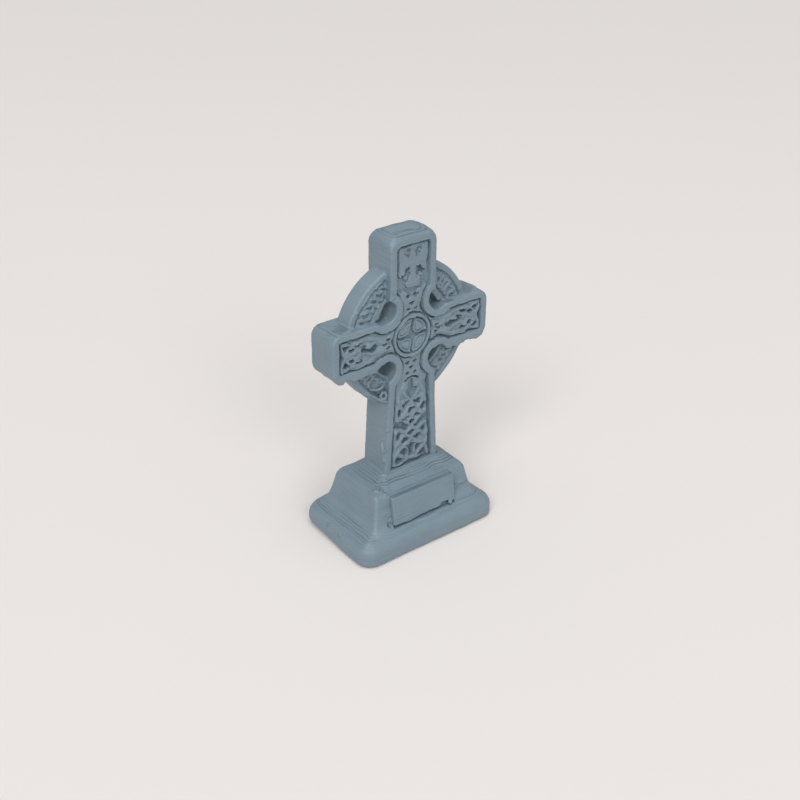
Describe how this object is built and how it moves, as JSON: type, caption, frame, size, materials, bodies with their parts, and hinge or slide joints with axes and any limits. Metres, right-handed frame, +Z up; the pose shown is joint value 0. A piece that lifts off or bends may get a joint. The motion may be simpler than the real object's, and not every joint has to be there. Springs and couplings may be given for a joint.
{
  "type": "celtic cross gravestone miniature",
  "caption": "Small printed model of a ringed high cross on a stepped plinth, with knotwork panels and a blank plaque; stands on its own base.",
  "frame": {"origin": "centre of the bounding box's underside, on the ground under the foot slab", "axes": "+Z up the shaft; the carved front with the plaque faces -Y; the arms run along X"},
  "size_m": [0.0182, 0.0112, 0.032],
  "materials": {
    "printed_pla": "matte blue-grey PLA with visible print layers"
  },
  "bodies": {
    "root": {"celtic_cross": "printed_pla"}
  },
  "joints": []
}
